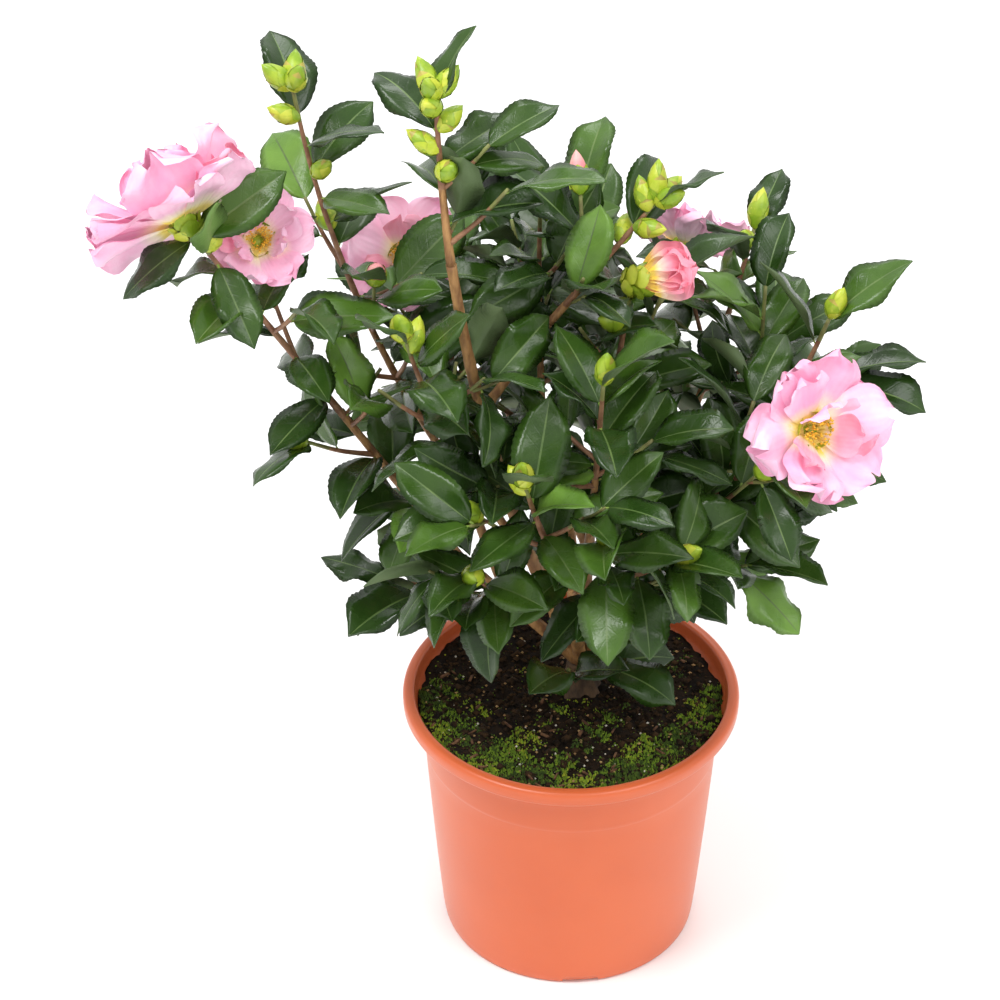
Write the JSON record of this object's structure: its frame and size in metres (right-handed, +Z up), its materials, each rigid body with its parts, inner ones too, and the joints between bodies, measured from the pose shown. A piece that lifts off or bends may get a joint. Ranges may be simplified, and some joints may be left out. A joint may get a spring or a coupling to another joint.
{
  "type": "camellia shrub in a pot",
  "caption": "Flowering evergreen shrub with glossy oval leaves, round buds and loose pink blooms on splayed boughs, growing in a tapered round nursery pot.",
  "frame": {"origin": "middle of the pot's flat underside, on the ground", "axes": "+Z up along the pot's axis, -Y towards the front of the shrub, +X to its right"},
  "size_m": [0.4374, 0.3434, 0.5986],
  "materials": {
    "pot_plastic": "satin terracotta-coloured plastic",
    "soil": "dark crumbly potting soil with moss",
    "bark": "smooth light tan bark",
    "foliage": "glossy dark green leaves, lime buds and pink petals"
  },
  "bodies": {
    "root": {"pot": "pot_plastic", "soil": "soil", "stem": "bark", "bough_left": "bark", "bough_upright": "bark", "bough_low_left": "bark", "bough_crown": "bark", "bough_slant": "bark", "bough_mid_left": "bark", "bough_front_left": "bark", "bough_front": "bark", "bough_middle": "bark", "bough_front_right": "bark", "bough_right": "bark", "bough_low_right": "bark", "bough_far_right": "bark", "bough_half": "bark", "bough_top": "bark", "bough_rear_left": "bark", "bough_rear": "bark", "bough_rear_right": "bark", "bough_rear_low": "bark", "leaves_left": "foliage", "leaves_upright": "foliage", "leaves_low_left": "foliage", "leaves_crown": "foliage", "leaves_slant": "foliage", "leaves_mid_left": "foliage", "leaves_front_left": "foliage", "leaves_front": "foliage", "leaves_middle": "foliage", "leaves_front_right": "foliage", "leaves_right": "foliage", "leaves_low_right": "foliage", "leaves_far_right": "foliage", "leaves_half": "foliage", "leaves_top": "foliage", "leaves_rear_left": "foliage", "leaves_rear": "foliage", "leaves_rear_right": "foliage", "leaves_rear_low": "foliage", "leaves_at_foot": "foliage"}
  },
  "joints": []
}
